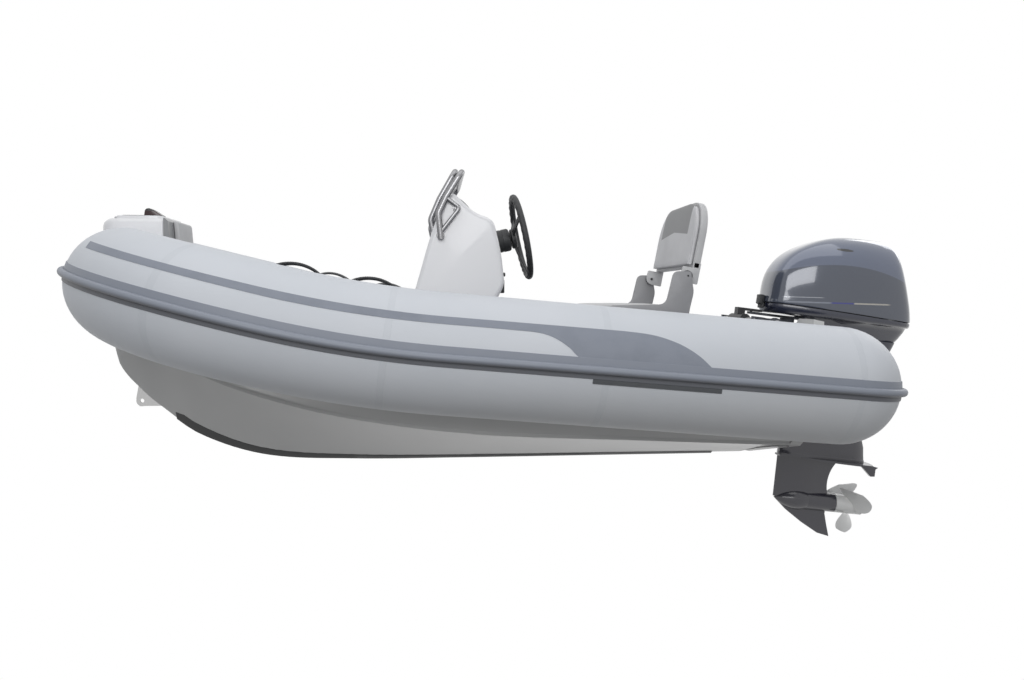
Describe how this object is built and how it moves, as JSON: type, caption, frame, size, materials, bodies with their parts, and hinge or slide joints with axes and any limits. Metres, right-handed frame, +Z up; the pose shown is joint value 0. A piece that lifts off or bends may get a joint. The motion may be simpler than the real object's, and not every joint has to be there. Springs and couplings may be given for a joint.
{
  "type": "rigid-hulled inflatable boat with outboard engine",
  "caption": "Small rigid-hulled inflatable boat with a bow locker, a helm console, a fold-down seat and an outboard engine that tilts and steers.",
  "frame": {"origin": "on the design waterline, on the centreline, 0.18 m above the keel line and 1.65 m ahead of the tube's aft tips", "axes": "+X to the bow, +Y to port, +Z up"},
  "size_m": [3.6726, 1.808, 1.6428],
  "materials": {
    "tube_fabric": "satin",
    "tube_trim": "satin",
    "handle_rubber": "matte",
    "hull_gelcoat": "satin",
    "keel_strip": "matte",
    "deck_gelcoat": "satin",
    "deck_foam": "matte",
    "white_gelcoat": "gloss",
    "locker_grey": "satin",
    "stainless": "polished",
    "black_plastic": "matte",
    "gauge_face": "gloss",
    "wheel_grip": "matte",
    "wheel_alloy": "satin",
    "seat_moulding": "satin",
    "seat_vinyl": "satin",
    "bracket_paint": "satin",
    "engine_paint": "gloss",
    "engine_dark": "gloss",
    "engine_steel": "satin",
    "engine_block": "cast",
    "prop_alloy": "satin"
  },
  "bodies": {
    "boat": {"tube_collar": "tube_fabric", "strake_base": "tube_trim", "strake_ridge": "tube_trim", "wear_strips": "tube_trim", "tube_end_caps": "tube_trim", "hull": "hull_gelcoat", "transom": "hull_gelcoat", "keel_guard": "keel_strip", "bow_eye": "hull_gelcoat", "tow_eyes": "stainless", "deck": "deck_gelcoat", "deck_mat": "deck_foam", "grab_handle_port_1": "handle_rubber", "grab_handle_port_2": "handle_rubber", "grab_handle_starboard_1": "handle_rubber", "grab_handle_starboard_2": "handle_rubber", "bow_cap": "white_gelcoat", "lid_hinge_pins": "stainless", "locker_bulkhead": "locker_grey", "bow_pad": "seat_vinyl", "console": "white_gelcoat", "dash_panel": "black_plastic", "gauges": "gauge_face", "ignition_panel": "black_plastic", "throttle_box": "black_plastic", "throttle_lever": "black_plastic", "console_rail": "stainless", "helm_unit": "black_plastic", "seat_base": "white_gelcoat", "seat_cushion": "seat_vinyl", "seat_brackets": "bracket_paint", "back_pivot_knobs": "black_plastic", "clamp_brackets": "engine_dark"},
    "lid": {"locker_lid": "white_gelcoat", "lid_mat": "deck_foam", "bow_light": "black_plastic"},
    "wheel": {"steering_wheel_rim": "wheel_grip", "steering_wheel_spokes": "wheel_alloy"},
    "seat_back": {"backrest_shell": "seat_moulding", "backrest_pad": "seat_vinyl"},
    "swivel": {"swivel_bracket": "engine_dark", "tilt_tube": "engine_steel", "steering_rod": "stainless", "cylinder_arms": "engine_dark"},
    "engine": {"steering_bracket": "engine_dark", "midsection": "engine_dark", "engine_pan": "engine_paint", "cowl": "engine_paint", "powerhead": "engine_block", "cowl_latch": "black_plastic", "gearcase": "engine_dark", "trim_tab": "engine_dark"},
    "propeller": {"propeller": "prop_alloy"},
    "cylinder": {"steering_barrel": "engine_dark"}
  },
  "joints": [
    {"name": "locker_lid_hinge", "type": "hinge", "parent": "boat", "child": "lid", "pos_m": [1.421, 0, 0.8565], "axis": [0, 1, 0], "range_deg": [0, 95]},
    {"name": "seat_back_fold", "type": "hinge", "parent": "boat", "child": "seat_back", "pos_m": [-0.94, 0, 0.617], "axis": [0, 1, 0], "range_deg": [0, 96]},
    {"name": "outboard_tilt", "type": "hinge", "parent": "boat", "child": "swivel", "pos_m": [-1.403, 0, 0.41], "axis": [0, 1, 0], "range_deg": [0, 62]},
    {"name": "outboard_steer", "type": "hinge", "parent": "swivel", "child": "engine", "pos_m": [-1.50225, 0, 0.39781], "axis": [-0.1219, 0, 0.9925], "range_deg": [-32, 32]},
    {"name": "prop_spin", "type": "hinge", "parent": "engine", "child": "propeller", "pos_m": [-1.80735, 0, -0.44062], "axis": [0.9925, 0, 0.1219], "continuous": true},
    {"name": "cylinder_slide", "type": "slide", "parent": "swivel", "child": "cylinder", "axis": [0, 1, 0], "range_m": [-0.0935, 0.0935]},
    {"name": "wheel_turn", "type": "hinge", "parent": "boat", "child": "wheel", "pos_m": [-0.272, 0, 0.795], "axis": [0.9781, 0, -0.2079], "range_deg": [-642, 642]}
  ],
  "couplings": [
    {"joint": "cylinder_slide", "follows": "outboard_steer", "m_per_rad": 0.166},
    {"joint": "wheel_turn", "follows": "outboard_steer", "ratio": 20}
  ]
}
